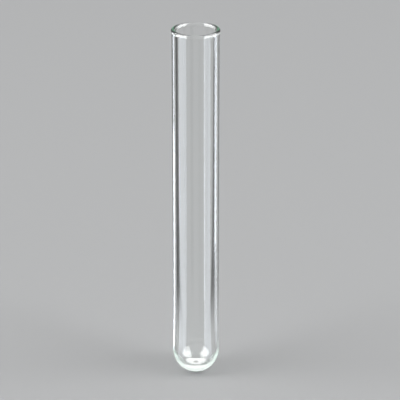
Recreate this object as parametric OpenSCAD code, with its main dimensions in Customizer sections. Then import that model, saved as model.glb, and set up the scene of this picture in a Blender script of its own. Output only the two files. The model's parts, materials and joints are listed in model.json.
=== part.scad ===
// Laboratory test tube: drawn glass tubing with a round closed bottom and a fire-polished rim.
// All sizes are in millimetres. The tube stands along +Z, and the origin is the lowest point
// of its round bottom. Every curve is an arc, so the whole tube is one turned section.

/* [Tube] */
// Outside diameter of the straight wall, which racks, clamps and slip-on caps fit
outer_d = 16; // [10:0.5:30]
// Overall length, from the lowest point of the round bottom to the top of the rim
tube_length = 125; // [60:1:250]
// Thickness of the straight wall
wall = 1.2; // [0.8:0.05:2]

/* [Round bottom] */
// Thickness of the glass at the lowest point, where the melted end gathers
bottom_thickness = 2.1; // [1.2:0.05:4]

/* [Rim] */
// How far the melted bead swells past each face of the wall
bead_swell = 0.1; // [0.05:0.01:0.25]
// Radius of the hollow curve that leads each face of the wall out into the bead
neck_r = 2; // [0.5:0.1:4]

/* [Hidden] */
$fn = 128;

// the two faces of the straight wall, and the line midway between them
outer_r = outer_d / 2;
inner_r = outer_r - wall;
mid_r = outer_r - wall / 2;

// the bead is a ring of round section, whose top is the rim of the tube
bead_r = wall / 2 + bead_swell;
bead_z = tube_length - bead_r;

// The neck curves touch the wall's faces at shoulder_z and touch the bead above it, so their
// centres lie neck_r beyond the faces and neck_r + bead_r from the middle of the bead.
shoulder_z = bead_z - sqrt(pow(neck_r + bead_r, 2) - pow(neck_r + wall / 2, 2));
neck_offset = wall / 2 + neck_r;

// A half section, closed round below and straight-sided above: a quarter disc under a strip.
module round_ended(r, bottom_z, top_z) {
    translate([0, bottom_z]) {
        intersection() {
            translate([0, r]) circle(r);
            square(r);
        }
        translate([0, r]) square([r, top_z - bottom_z - r]);
    }
}

// The wall and the closed end: the outside form, less the hollow that starts a bottom
// thickness higher, so the wall thickens evenly from its straight part to the lowest point.
module wall_section() {
    difference() {
        round_ended(outer_r, 0, shoulder_z);
        round_ended(inner_r, bottom_thickness, shoulder_z + 1);
    }
}

// The fire-polished rim: a triangle between the centres of the bead and of the two neck
// curves, hollowed by those curves, with the round bead on top.
module rim_section() {
    translate([mid_r, shoulder_z]) {
        difference() {
            polygon([[-neck_offset, 0], [neck_offset, 0], [0, bead_z - shoulder_z]]);
            for (side = [-1, 1]) translate([side * neck_offset, 0]) circle(neck_r);
        }
        translate([0, bead_z - shoulder_z]) circle(bead_r);
    }
}

// The one piece of glass, turned about its axis.
module glass_tube() {
    color([0.86, 0.93, 0.90, 0.45])
        rotate_extrude() {
            wall_section();
            rim_section();
        }
}

glass_tube();
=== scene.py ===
# %% [markdown]
# # A glass test tube
# The tube is one turned piece of clear glass: a straight drawn wall, an end melted round and
# closed, and a rim melted back into a smooth bead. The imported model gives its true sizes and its
# place. This lesson makes the same form again as a smooth surface, because clear glass shows
# every facet. Then it gives the surface glass that bends light, a pale studio and a camera.

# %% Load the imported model
import json
import math
import bpy
import numpy as np
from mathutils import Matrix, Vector


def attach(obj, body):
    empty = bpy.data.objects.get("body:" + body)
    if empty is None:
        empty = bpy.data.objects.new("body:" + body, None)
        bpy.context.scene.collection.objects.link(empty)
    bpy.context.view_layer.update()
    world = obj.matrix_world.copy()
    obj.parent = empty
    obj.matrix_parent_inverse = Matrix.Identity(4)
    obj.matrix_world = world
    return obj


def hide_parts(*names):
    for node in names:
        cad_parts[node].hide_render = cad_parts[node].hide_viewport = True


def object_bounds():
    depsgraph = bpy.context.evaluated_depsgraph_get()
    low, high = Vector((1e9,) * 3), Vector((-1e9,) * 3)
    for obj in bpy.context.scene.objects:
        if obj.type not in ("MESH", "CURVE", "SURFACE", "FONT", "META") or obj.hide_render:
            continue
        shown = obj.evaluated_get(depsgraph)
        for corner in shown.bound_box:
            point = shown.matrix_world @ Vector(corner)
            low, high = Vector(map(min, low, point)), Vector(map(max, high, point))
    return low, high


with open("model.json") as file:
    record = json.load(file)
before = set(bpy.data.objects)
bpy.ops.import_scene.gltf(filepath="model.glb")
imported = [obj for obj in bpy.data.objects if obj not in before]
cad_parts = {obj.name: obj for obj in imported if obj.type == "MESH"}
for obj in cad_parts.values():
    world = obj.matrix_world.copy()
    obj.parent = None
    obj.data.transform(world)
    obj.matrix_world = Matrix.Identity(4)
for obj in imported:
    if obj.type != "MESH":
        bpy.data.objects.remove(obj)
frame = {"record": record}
CAD_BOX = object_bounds()
MM = 0.001
print("box of the packed model in mm:", [[round(v / MM, 2) for v in corner] for corner in CAD_BOX])

# %% [markdown]
# ## Sizes
# A piece that stands in for a packed one has to fit it exactly, so every size is read from the
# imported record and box. The mouth is a round bore and the outside is a round shaft. Each states
# its radius, its length and the middle of its straight wall, and those give both ends of it.

# %% Sizes of the glass
mounts = {mount["name"]: mount for mount in frame["record"]["mounts"]}


def straight_wall(name):
    """Radius, lower end and upper end of a round wall: its middle, less and plus half its length."""
    mount = mounts[name]
    radius, length = mount["dims"]["r_mm"] * MM, mount["dims"]["length_mm"] * MM
    return radius, mount["pos_m"][2] - length / 2, mount["pos_m"][2] + length / 2


OUTER_R, OUTER_FOOT, SHOULDER = straight_wall("outer_wall")
INNER_R, INNER_FOOT, _ = straight_wall("mouth")
RIM_TOP = CAD_BOX[1].z
WALL = OUTER_R - INNER_R
MID_R = (OUTER_R + INNER_R) / 2
BEAD_R = CAD_BOX[1].x - MID_R
BEAD_Z = RIM_TOP - BEAD_R
print("outer radius, inner radius, wall and bead in mm:",
      [round(v / MM, 3) for v in (OUTER_R, INNER_R, WALL, BEAD_R)])
print("glass at the lowest point in mm:", round((INNER_FOOT - INNER_R) / MM, 3))

# %% [markdown]
# ## The outline
# A glassblower turns the tube in a flame, so one outline, swept round the axis, makes all of it.
# The outline starts under the bottom, runs up the outside, over the bead and down the inside,
# and ends above the bottom. It is only arcs and straight lines, so each stretch is a short
# formula. The hollow neck curves touch both the wall and the bead, as molten glass does.


# %% The outline, from under the bottom, over the rim and down inside
def arc(centre_r, centre_z, radius, start, end, count):
    """Points on a circle: the centre plus radius times the cosine and sine of each angle, in degrees."""
    angle = np.radians(np.linspace(start, end, count))
    return np.column_stack([centre_r + radius * np.cos(angle), centre_z + radius * np.sin(angle)])


def line(radius, start_z, end_z, count):
    """Points up or down a straight wall, leaving out both ends, which the arcs beside it hold."""
    height = np.linspace(start_z, end_z, count + 2)[1:-1]
    return np.column_stack([np.full(count, radius), height])


WALL_POINTS = 70
neck_drop = BEAD_Z - SHOULDER
# The neck curve's radius n puts its centre n + bead radius from the bead's centre, and n + half
# the wall to its side, so Pythagoras gives n from the known drop between the two.
NECK_R = (neck_drop ** 2 + (WALL / 2) ** 2 - BEAD_R ** 2) / (2 * BEAD_R - WALL)
neck_offset = NECK_R + WALL / 2
touch = math.degrees(math.atan2(neck_drop, neck_offset))
print("neck curve radius in mm:", round(NECK_R / MM, 3))
print("it meets the bead this many degrees below level:", round(touch, 1))

outline = np.concatenate([
    arc(0, OUTER_R, OUTER_R, -90, 0, 72),
    line(OUTER_R, OUTER_FOOT, SHOULDER, WALL_POINTS),
    arc(MID_R + neck_offset, SHOULDER, NECK_R, 180, 180 - touch, 8),
    arc(MID_R, BEAD_Z, BEAD_R, -touch, 180 + touch, 44)[1:-1],
    arc(MID_R - neck_offset, SHOULDER, NECK_R, touch, 0, 8),
    line(INNER_R, SHOULDER, INNER_FOOT, WALL_POINTS),
    arc(0, INNER_FOOT, INNER_R, 0, -90, 56),
])
print("points on the outline:", len(outline))

# %% [markdown]
# ## From outline to surface
# A vertex array could be filled one point at a time, but numpy works out the whole grid at once:
# rows follow the outline and columns go round the axis. The first and last row lie on the axis,
# so each becomes a single vertex with a fan of triangles, and the skin is closed with no seam.


# %% Turn an outline into a closed mesh
def turned_mesh(name, rows, around, pull=None):
    """A surface of revolution: x is radius times cosine, y is radius times sine, z is the outline's height.

    pull, if given, is a function of radius, angle and height that returns the radius to use."""
    turn = np.arange(around) * (2 * np.pi / around)
    radius = np.repeat(rows[1:-1, :1], around, axis=1)
    height = np.repeat(rows[1:-1, 1:], around, axis=1)
    angle = np.broadcast_to(turn, radius.shape)
    if pull is not None:
        radius = pull(radius, angle, height)
    grid = np.stack([radius * np.cos(angle), radius * np.sin(angle), height], axis=-1)
    first, last = [0, 0, rows[0, 1]], [0, 0, rows[-1, 1]]
    points = np.concatenate([[first], grid.reshape(-1, 3), [last]])
    count = len(rows) - 2
    index = 1 + np.arange(count * around).reshape(count, around)
    beside = np.roll(index, -1, axis=1)
    quads = np.stack([index[:-1], beside[:-1], beside[1:], index[1:]], axis=-1).reshape(-1, 4)
    start_fan = np.stack([np.zeros(around, int), beside[0], index[0]], axis=-1)
    end_fan = np.stack([np.full(around, len(points) - 1), index[-1], beside[-1]], axis=-1)
    mesh = bpy.data.meshes.new(name)
    mesh.from_pydata(points.tolist(), [], quads.tolist() + start_fan.tolist() + end_fan.tolist())
    mesh.polygons.foreach_set("use_smooth", np.ones(len(mesh.polygons), bool))
    mesh.update()
    return mesh


def add_object(name, mesh):
    """Put a mesh into the scene at the origin, unturned and unscaled."""
    thing = bpy.data.objects.new(name, mesh)
    bpy.context.scene.collection.objects.link(thing)
    return thing


# %% [markdown]
# ## The draw of the glass
# Drawn tubing is never perfectly true. The bore sits a few hundredths of a millimetre off
# centre, it is very slightly oval, and faint ridges run its whole length from the drawing. They
# are too small to see as shape, but they soften and waver each reflection, which is what tells
# the eye that it is real glass. They are made in the mesh, as small waves on the radius.


# %% The slight unevenness of drawn tubing
OFF_CENTRE = 0.035
OVAL = 0.015
SWELL = 0.0015
# For each ridge wave: how many go round, its height in mm, its phase and its drift up the tube.
RIDGES = ((5, 0.0016, 0.3, 0.5), (8, 0.0009, 1.9, -0.6), (13, 0.0005, 4.1, 0.4))


def drawn(radius, angle, height):
    """The radius plus a few cosine waves round the axis, which drift slowly in phase with height.

    The inner skin gets an off-centre and an oval wave. Both skins get faint ridges, and one slow
    swell up the tube. All fade out towards the axis, so the poles stay round. Heights are in mm."""
    along = (height - OUTER_FOOT) / (RIM_TOP - OUTER_FOOT)
    fade = np.clip(radius / INNER_R, 0, 1) ** 2
    inside = np.clip((MID_R - radius) / (WALL / 2), 0, 1)
    bore = OFF_CENTRE * np.cos(angle - 2.1 + 0.5 * along) + OVAL * np.cos(2 * angle + 0.7 - 1.1 * along)
    ridges = sum(size * np.cos(waves * angle + phase + drift * along)
                 for waves, size, phase, drift in RIDGES)
    swell = SWELL * np.cos(2 * np.pi * (2.3 * along + 0.15))
    return radius + MM * fade * (inside * bore + ridges + swell)


AROUND = 300
tube = add_object("test_tube_glass", turned_mesh("test_tube_glass", outline, AROUND, drawn))
print("triangles in the tube:", sum(len(face.vertices) - 2 for face in tube.data.polygons))

# %% [markdown]
# ## The glass
# Clear laboratory glass bends light by about half again, has a polished skin, and holds a trace
# of iron, which is seen only where the eye looks along the wall: at the rim and in the bottom.
# So the colour is not on the surface. It is in the volume, as an absorption that grows with the
# length of the path. The skin gets two things that real glass has: fine lengthwise draw lines,
# as a bump far too small to model, and a trace of haze from handling, as uneven roughness.


# %% The clear glass
GLASS_INDEX = 1.5
GREEN = (0.46, 0.93, 0.72, 1)
GREEN_DENSITY = 12
LINE_SCALE = 900
LINE_STRETCH = 0.012
LINE_DEPTH = 0.000004
MOST_HAZE = 0.04


def glass():
    """Clear glass with a green volume, draw lines on its normal and haze on its roughness."""
    material = bpy.data.materials.new("clear_lab_glass")
    material.use_nodes = True
    tree = material.node_tree
    tree.nodes.clear()
    output = tree.nodes.new("ShaderNodeOutputMaterial")
    shader = tree.nodes.new("ShaderNodeBsdfPrincipled")
    shader.inputs["Base Color"].default_value = (1, 1, 1, 1)
    shader.inputs["Transmission Weight"].default_value = 1
    shader.inputs["IOR"].default_value = GLASS_INDEX
    tree.links.new(shader.outputs["BSDF"], output.inputs["Surface"])
    body = tree.nodes.new("ShaderNodeVolumeAbsorption")
    body.inputs["Color"].default_value = GREEN
    body.inputs["Density"].default_value = GREEN_DENSITY
    tree.links.new(body.outputs["Volume"], output.inputs["Volume"])

    place = tree.nodes.new("ShaderNodeTexCoord")
    stretch = tree.nodes.new("ShaderNodeMapping")
    stretch.inputs["Scale"].default_value = (1, 1, LINE_STRETCH)
    tree.links.new(place.outputs["Object"], stretch.inputs["Vector"])
    lines = tree.nodes.new("ShaderNodeTexNoise")
    lines.inputs["Scale"].default_value = LINE_SCALE
    lines.inputs["Detail"].default_value = 2
    tree.links.new(stretch.outputs["Vector"], lines.inputs["Vector"])
    bump = tree.nodes.new("ShaderNodeBump")
    bump.inputs["Strength"].default_value = 0.25
    bump.inputs["Distance"].default_value = LINE_DEPTH
    tree.links.new(lines.outputs["Fac"], bump.inputs["Height"])
    tree.links.new(bump.outputs["Normal"], shader.inputs["Normal"])

    smear = tree.nodes.new("ShaderNodeTexNoise")
    smear.inputs["Scale"].default_value = 60
    smear.inputs["Detail"].default_value = 4
    tree.links.new(place.outputs["Object"], smear.inputs["Vector"])
    haze = tree.nodes.new("ShaderNodeMapRange")
    haze.inputs["From Min"].default_value = 0.5
    haze.inputs["From Max"].default_value = 0.8
    haze.inputs["To Min"].default_value = 0.0
    haze.inputs["To Max"].default_value = MOST_HAZE
    tree.links.new(smear.outputs["Fac"], haze.inputs["Value"])
    tree.links.new(haze.outputs["Result"], shader.inputs["Roughness"])
    return material


tube.data.materials.append(glass())
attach(tube, "root")
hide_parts("glass_tube")

# %% [markdown]
# ## The sweep
# Studios stand small things on a sweep: paper that lies flat and then curves up into a wall, so
# that no hard horizon cuts behind them. A plane and a bent sheet would do for one view. This one
# is an outline turned about the tube's axis, as the tube is, so it looks alike from every side.
# It is open at the top, so it is a sheet and not a closed skin, and the same function can also
# stop short of a full turn, which the lights below need.


# %% Turn an outline into an open sheet
def turned_sheet(name, rows, start, end, columns):
    """An outline turned from one angle to another about the tube's axis.

    x is radius times the sine of the angle and y is minus radius times its cosine, so the angle
    is counted in degrees from the front, towards +X. The UV map "sheet" holds how far a point is
    across the turn and along the outline, both from 0 to 1."""
    radius = rows[:, :1]
    height = np.repeat(rows[:, 1:], columns, axis=1)
    turn = np.radians(np.linspace(start, end, columns))
    points = np.stack([radius * np.sin(turn), -radius * np.cos(turn), height], axis=-1)
    index = np.arange(len(rows) * columns).reshape(len(rows), columns)
    quads = np.stack([index[:-1, :-1], index[1:, :-1], index[1:, 1:], index[:-1, 1:]], axis=-1)
    mesh = bpy.data.meshes.new(name)
    mesh.from_pydata(points.reshape(-1, 3).tolist(), [], quads.reshape(-1, 4).tolist())
    mesh.polygons.foreach_set("use_smooth", np.ones(len(mesh.polygons), bool))

    steps = np.linalg.norm(np.diff(rows, axis=0), axis=1)
    length = np.concatenate([[0], np.cumsum(steps)])
    along, across = np.meshgrid(length / length[-1], np.linspace(0, 1, columns), indexing="ij")
    uv = np.stack([across, along], axis=-1).reshape(-1, 2)
    corner = np.empty(len(mesh.loops), int)
    mesh.loops.foreach_get("vertex_index", corner)
    mesh.uv_layers.new(name="sheet").data.foreach_set("uv", uv[corner].ravel())
    mesh.update()
    return mesh


# %% The shape of the sweep
FLAT_R = 1.7
COVE_R = 0.6
HOLE_R = 0.0005
SHEET_POINTS = 24


def sweep_rows():
    """A level line out to FLAT_R, then a quarter circle of radius COVE_R that ends upright."""
    level = np.column_stack([np.linspace(HOLE_R, FLAT_R, SHEET_POINTS), np.zeros(SHEET_POINTS)])
    return np.concatenate([level, arc(FLAT_R, COVE_R, COVE_R, -90, 0, SHEET_POINTS)[1:]])


floor = add_object("sweep", turned_sheet("sweep", sweep_rows(), 0, 360, 97))
print("width of the sweep in m:", 2 * (FLAT_R + COVE_R))

# %% [markdown]
# ## The paper of the sweep
# The paper is matt, so it mirrors neither the tube nor the lights. Its wall is far from the
# lamps and would look darker than the floor beside the tube. So the paper pales a little along
# its length, by its own UV map, until the two look the same and the horizon is gone.

# %% The finish of the sweep
FLOOR_TONE = (0.47, 0.475, 0.48, 1)
WALL_TONE = (0.565, 0.57, 0.575, 1)


def sweep_finish():
    """Matt paper whose tone goes from the floor's to the wall's between 0.3 and 0.75 of its length."""
    material = bpy.data.materials.new("pale_sweep")
    material.use_nodes = True
    tree = material.node_tree
    shader = tree.nodes["Principled BSDF"]
    shader.inputs["Roughness"].default_value = 1
    shader.inputs["Specular IOR Level"].default_value = 0
    where = tree.nodes.new("ShaderNodeUVMap")
    where.uv_map = "sheet"
    parts = tree.nodes.new("ShaderNodeSeparateXYZ")
    tree.links.new(where.outputs["UV"], parts.inputs["Vector"])
    rise = tree.nodes.new("ShaderNodeMapRange")
    rise.inputs["From Min"].default_value = 0.3
    rise.inputs["From Max"].default_value = 0.75
    tree.links.new(parts.outputs["Y"], rise.inputs["Value"])
    tone = tree.nodes.new("ShaderNodeMix")
    tone.data_type = "RGBA"
    tone.inputs["A"].default_value = FLOOR_TONE
    tone.inputs["B"].default_value = WALL_TONE
    tree.links.new(rise.outputs["Result"], tone.inputs["Factor"])
    tree.links.new(tone.outputs["Result"], shader.inputs["Base Color"])
    return material


floor.data.materials.append(sweep_finish())

# %% [markdown]
# ## Cards: what the glass has to show
# Clear glass has hardly any look of its own. It shows what stands round it, mirrored in its skin
# and bent through its wall. So in a studio white and black cards stand round glassware, just out
# of view. A real card has to be kept from lighting the rest of the set. In Blender each object
# has switches for the kinds of ray that may see it, which is simpler and exact. A ray that the
# skin mirrors is glossy, and one that has been inside the glass is transmitted. So a card is
# made for one kind, and the camera and the matt floor never see it. A Light Path node can be
# choosier still, because it counts how often a ray has been mirrored on its way.


# %% The finish of a card
WHITE = (1, 1, 1, 1)
DAYLIGHT = (0.86, 0.92, 1, 1)
LAVENDER = (0.8, 0.78, 1, 1)


def card_finish(name, glow, soft, soft_ends, tint, once):
    """Even emission that fades into nothing near the card's edges.

    The distance to the nearer edge is the UV value folded back at a half. It is eased from 0 to
    1 over soft of the width and over soft_ends of the length, and the two are multiplied. With
    once, the product counts only for a ray that was mirrored once, and is 0 for any other."""
    material = bpy.data.materials.new(name)
    material.use_nodes = True
    tree = material.node_tree
    tree.nodes.clear()
    output = tree.nodes.new("ShaderNodeOutputMaterial")
    mix = tree.nodes.new("ShaderNodeMixShader")
    clear = tree.nodes.new("ShaderNodeBsdfTransparent")
    light = tree.nodes.new("ShaderNodeEmission")
    light.inputs["Color"].default_value = tint
    light.inputs["Strength"].default_value = glow
    where = tree.nodes.new("ShaderNodeUVMap")
    where.uv_map = "sheet"
    parts = tree.nodes.new("ShaderNodeSeparateXYZ")
    tree.links.new(where.outputs["UV"], parts.inputs["Vector"])
    fades = []
    for side, share in (("X", soft), ("Y", soft_ends)):
        folded = tree.nodes.new("ShaderNodeMath")
        folded.operation = "PINGPONG"
        folded.inputs[1].default_value = 0.5
        tree.links.new(parts.outputs[side], folded.inputs[0])
        fade = tree.nodes.new("ShaderNodeMapRange")
        fade.interpolation_type = "SMOOTHSTEP"
        fade.inputs["From Max"].default_value = share
        tree.links.new(folded.outputs["Value"], fade.inputs["Value"])
        fades.append(fade.outputs["Result"])
    both = tree.nodes.new("ShaderNodeMath")
    both.operation = "MULTIPLY"
    tree.links.new(fades[0], both.inputs[0])
    tree.links.new(fades[1], both.inputs[1])
    shown = both.outputs["Value"]
    if once:
        path = tree.nodes.new("ShaderNodeLightPath")
        is_one = tree.nodes.new("ShaderNodeMath")
        is_one.operation = "COMPARE"
        is_one.inputs[1].default_value = 1
        is_one.inputs[2].default_value = 0.5
        tree.links.new(path.outputs["Glossy Depth"], is_one.inputs[0])
        only = tree.nodes.new("ShaderNodeMath")
        only.operation = "MULTIPLY"
        tree.links.new(shown, only.inputs[0])
        tree.links.new(is_one.outputs["Value"], only.inputs[1])
        shown = only.outputs["Value"]
    tree.links.new(shown, mix.inputs["Fac"])
    tree.links.new(clear.outputs["BSDF"], mix.inputs[1])
    tree.links.new(light.outputs["Emission"], mix.inputs[2])
    tree.links.new(mix.outputs["Shader"], output.inputs["Surface"])
    return material


# %% A card that only the glass sees
def card(name, rows, start, end, glow, soft=0.2, soft_ends=0.001, tint=WHITE, kind="mirrored"):
    """A sheet turned from start to end degrees from the front, seen by rays of one kind.

    kind is "mirrored" for what the skin mirrors, "through" for what is seen through the glass, and
    "once" for what is seen through it after one mirroring inside. glow is its brightness, where 1
    is white, and card_finish explains soft and soft_ends."""
    thing = add_object(name, turned_sheet(name, rows, start, end, SHEET_POINTS))
    thing.data.materials.append(card_finish(name, glow, soft, soft_ends, tint, kind == "once"))
    thing.visible_camera = False
    thing.visible_diffuse = False
    thing.visible_shadow = False
    thing.visible_volume_scatter = False
    thing.visible_glossy = kind == "mirrored"
    thing.visible_transmission = kind != "mirrored"
    return thing


# %% Three outlines for cards
LIFT = 0.0005
LIP_CURVE = 0.04


def flat_rows(near, far, height=LIFT):
    """A level line from one distance to another, just above the floor."""
    return np.column_stack([np.linspace(near, far, SHEET_POINTS), np.full(SHEET_POINTS, height)])


def low_rows(near, lip, far=0.62):
    """A level line that, at its far end, curves up through a small quarter circle into a lip."""
    bend = arc(far, LIP_CURVE + LIFT, LIP_CURVE, -90, 0, 8)[1:]
    return np.concatenate([flat_rows(near, far), bend, [[far + LIP_CURVE, lip]]])


def dish_rows(low, high, reach=1.45):
    """An arc of a circle round the middle of the tube, from a low to a high angle above level."""
    return arc(0, RIM_TOP / 2, reach, low, high, SHEET_POINTS)


# %% [markdown]
# ## The upright bands
# A straight tube mirrors like a fun-fair mirror: sideways it squeezes half the room onto its
# front, and upwards it does nothing. So an upright white band needs a strip that points at the
# tube and lies on the floor, because the camera looks down on it. A strip at some angle from the
# front shows at half that angle round the tube. Strips at about 60 degrees give the two soft
# bands, each with a narrow brighter line in it: at the inner edge on the right, and a little
# inward of the middle on the left. They fade out towards the tube, so the bands do so towards the
# round bottom, and their lips serve the low views. A shorter strip with a hint of lavender lights
# the outer side of the left band, over its middle heights.

# %% Strips for the bands
LIP = 0.2
BAND_GLOW = 4.5
band_rows = low_rows(0.012, LIP)
# For each strip: its name, where it starts and ends, its glow, and how soft its long sides are.
BAND_STRIPS = (
    ("band_right", 38, 75, BAND_GLOW, 0.06),
    ("band_left", -87, -43, BAND_GLOW, 0.06),
    ("line_right", 38.5, 44, 10, 0.3),
    ("line_left", -61, -54, 9, 0.3),
)
for name, start, end, glow, soft in BAND_STRIPS:
    card(name, band_rows, start, end, glow, soft, soft_ends=0.025, tint=DAYLIGHT)
card("line_left_outer", flat_rows(0.11, 0.28), -87, -80, 10, soft=0.2, soft_ends=0.3, tint=LAVENDER)

# %% [markdown]
# ## The bright edges
# Near its edges the tube mirrors what stands behind it, and almost all of it, so a narrow strip
# there gives a thin, very bright line. How far out a strip starts and ends sets how far up the
# tube its line does: the right line keeps to the upper half, and the left one is strongest in
# the lower half. So each side takes a strong strip and a weaker one that carries on from it.

# %% Strips for the edges
card("edge_right", low_rows(0.075, LIP), 97, 119, 8, soft_ends=0.06, tint=DAYLIGHT)
card("edge_right_near", flat_rows(0.016, 0.115), 97, 125, 2.5, soft_ends=0.3, tint=DAYLIGHT)
card("edge_left", flat_rows(0.016, 0.26), -139, -119, 8, soft_ends=0.05, tint=DAYLIGHT)
card("edge_left_far", low_rows(0.24, LIP), -136, -119, 4.5, soft_ends=0.04, tint=DAYLIGHT)

# %% [markdown]
# ## Light in the round bottom and in the rim
# The hollow of the round bottom is a small bowl-shaped mirror, and tall windows on both sides
# of the tube show in it as two white petals. The light of a petal is mirrored just once. What
# else comes from those windows would whiten the mouth where they stand behind it, with no
# mirroring at all, and would flood the ends of the crescent under the bowl, with three or more.
# So one card on each side is for light mirrored once, and a second one lights the rim by way of
# the skin. A ring all round keeps the crescent and the rim from going black, because the thick
# glass there sends light round inside itself many times.

# %% Windows at the sides, and a ring
SIDES = (("right", 1), ("left", -1))
WINDOW_ENDS = (45, 118)
WINDOW_FOOT = 9
OUTER_REACH = 1.5
RIM_GLOW = 9
PETAL_GLOW = 10
RING_GLOW = 1.05
NO_SEAM = 0.0005
for side, sign in SIDES:
    start, end = sorted(sign * angle for angle in WINDOW_ENDS)
    card("window_mirrored_" + side, dish_rows(WINDOW_FOOT, 66, OUTER_REACH), start, end, RIM_GLOW,
         soft=0.08, soft_ends=0.05)
    card("window_" + side, dish_rows(WINDOW_FOOT, 62), start, end, PETAL_GLOW,
         soft=0.03, soft_ends=0.03, kind="once")
card("ring", dish_rows(WINDOW_FOOT, 31, OUTER_REACH), 0, 360, RING_GLOW,
     soft=NO_SEAM, soft_ends=0.05, kind="through")

# %% [markdown]
# ## The light under the bottom
# A round glass bottom is a lens, which gathers light into a small bright patch on the floor round
# the point that it stands on, and the same lens then spreads that patch into a white band with a
# dark spot, the point itself. Path tracing finds such a patch only by chance and with much
# noise. A small glowing ring, a tenth of a millimetre above the floor, stands for it.

# %% The patch of light under the bottom
FOOT_GLOW = 1.15
FOOT_LIFT = 0.0001
card("foot", flat_rows(0.0006, 0.0056, FOOT_LIFT), 0, 360, FOOT_GLOW,
     soft=NO_SEAM, soft_ends=0.18, kind="through")

# %% [markdown]
# ## Dark lines
# Bright lines alone are lost on pale paper. What draws clear glass there is darkness bent into
# its edges, so black strips lie round the tube and are seen only through the glass. They are
# narrower than the gaps between them, and 45 degrees apart but for two empty places. So from the
# front, the sides, the back and midway between them a strip stands behind one edge or both, and
# none behind the middle. A low outward flange ends each where it is seen edge on.

# %% Black strips
DARK_STARTS = (147, 192, 237, 282, 12, 57)
DARK_WIDTH = 21
DARK_GLOW = 0.06
FLANGE_END = (0.9, 0.2)
dark_rows = np.concatenate([low_rows(0.02, 0.17), [FLANGE_END]])
for start in DARK_STARTS:
    card("dark_%d" % start, dark_rows, start, start + DARK_WIDTH, DARK_GLOW,
         soft_ends=0.056, kind="through")

# %% [markdown]
# ## Lamps
# Two large square softboxes, high on the left and on the right, light the paper evenly from
# both sides, so the tube's shadow is soft and falls both ways. They stand well back, because a
# near lamp leaves a bright pool on the floor. A lamp's power grows with its area, so the function
# takes the brightness of its face, and works out the power.


# %% Softboxes
def softbox(name, azimuth, elevation, distance, size, radiance):
    """A square lamp that faces the middle of the tube, placed by its angle from the front and its height.

    Its power in watts is its radiance times its area times pi."""
    lamp = bpy.data.lights.new(name, "AREA")
    lamp.shape = "SQUARE"
    lamp.size = size
    lamp.energy = radiance * size ** 2 * math.pi
    thing = bpy.data.objects.new(name, lamp)
    bpy.context.scene.collection.objects.link(thing)
    turn, rise = math.radians(azimuth), math.radians(elevation)
    out = Vector((math.sin(turn) * math.cos(rise), -math.cos(turn) * math.cos(rise), math.sin(rise)))
    thing.location = Vector((0, 0, RIM_TOP / 2)) + out * distance
    thing.rotation_mode = "QUATERNION"
    thing.rotation_quaternion = out.to_track_quat("Z", "Y")
    thing.visible_camera = False
    return thing


for side, sign in SIDES:
    lamp = softbox("softbox_" + side, azimuth=75 * sign, elevation=50, distance=2.4, size=1.2, radiance=3.5)
    print(lamp.name, "power in watts:", round(lamp.data.energy, 1))

# %% [markdown]
# ## The room
# A plain white room fills the shadows. It is set so that, with the two lamps, the paper comes
# out about as pale as its colour says.

# %% World
ROOM_GLOW = 0.64
world = bpy.data.worlds.new("room")
world.use_nodes = True
room = world.node_tree.nodes["Background"]
room.inputs["Color"].default_value = WHITE
room.inputs["Strength"].default_value = ROOM_GLOW
bpy.context.scene.world = world

# %% [markdown]
# ## Camera
# The camera looks down on the standing tube by about 23 degrees, so the mouth shows as an
# ellipse, and from about 60 centimetres away, so the tube narrows a little towards its foot. The
# long lens then fills the frame with it.

# %% Camera
LOOK_DOWN = 22.92
LENS = 153.8
CAMERA_PLACE = (0.00142, -0.5322, 0.2897)
camera_data = bpy.data.cameras.new("camera")
camera_data.sensor_width = 36
camera_data.lens = LENS
camera_data.clip_start = 0.01
camera_data.clip_end = 20
camera = bpy.data.objects.new("camera", camera_data)
bpy.context.scene.collection.objects.link(camera)
camera.location = CAMERA_PLACE
camera.rotation_euler = (math.radians(90 - LOOK_DOWN), 0, 0)
bpy.context.scene.camera = camera
print("distance of the camera in mm:", round(camera.location.length / MM))

# %% [markdown]
# ## How often light may turn
# Light that enters the bead or the thick bottom is caught there and turns back from the skin
# from inside, often dozens of times, before it gets out. Blender stops a ray after a set number
# of turns and calls it black, so with the usual limit the tips of the rim and the crescent would
# be black. The limit is raised for just this. The view transform is the plain one, so the colours
# come out as they were written.

# %% Light paths and view
LIGHT_TURNS = 48
cycles = bpy.context.scene.cycles
cycles.max_bounces = LIGHT_TURNS
cycles.transmission_bounces = LIGHT_TURNS
cycles.glossy_bounces = LIGHT_TURNS
bpy.context.scene.view_settings.view_transform = "Standard"
